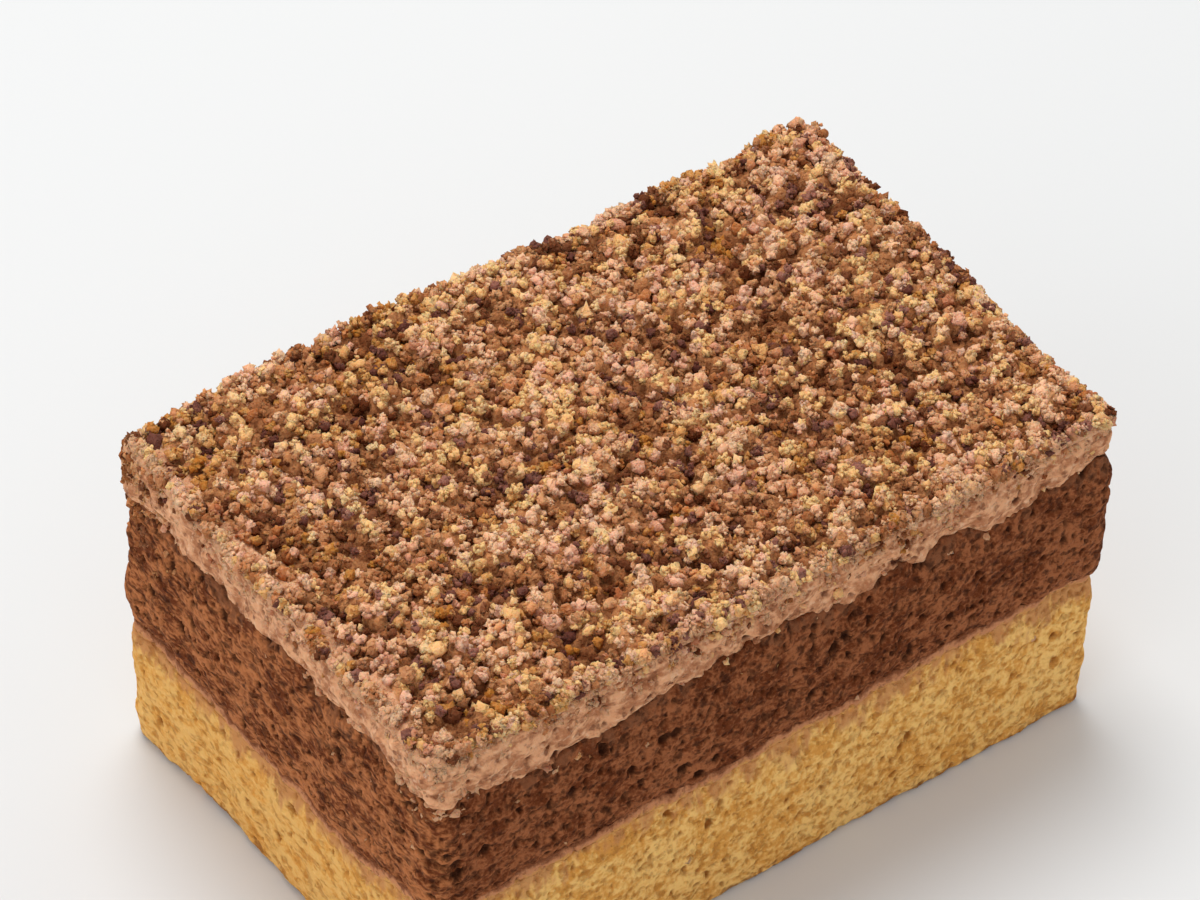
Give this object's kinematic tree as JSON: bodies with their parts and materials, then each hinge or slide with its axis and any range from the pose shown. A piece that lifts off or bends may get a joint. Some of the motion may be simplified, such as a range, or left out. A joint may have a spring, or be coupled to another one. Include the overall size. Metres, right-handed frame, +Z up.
{
  "type": "chocolate mousse cake slice",
  "caption": "Rectangular slice of layered cake: vanilla sponge, chocolate sponge and chocolate mousse under a coat of cake crumbs.",
  "frame": {"origin": "centre of the flat underside of the slice, on the surface it stands on", "axes": "+X along the long side, +Y along the short side away from the long cut face, +Z up"},
  "size_m": [0.1051, 0.0673, 0.0539],
  "materials": {
    "vanilla_sponge": "golden sponge, matt and open-pored",
    "seam": "thin mousse soaked into sponge, matt",
    "chocolate_sponge": "dark brown sponge, matt and open-pored",
    "mousse": "light brown mousse, cut smooth, soft sheen",
    "crumbs": "dry cake crumbs of mixed golden to dark brown"
  },
  "bodies": {
    "root": {"vanilla_sponge": "vanilla_sponge", "mousse_seam": "seam", "chocolate_sponge": "chocolate_sponge", "mousse_layer": "mousse", "crumb_coat": "crumbs"}
  },
  "joints": []
}
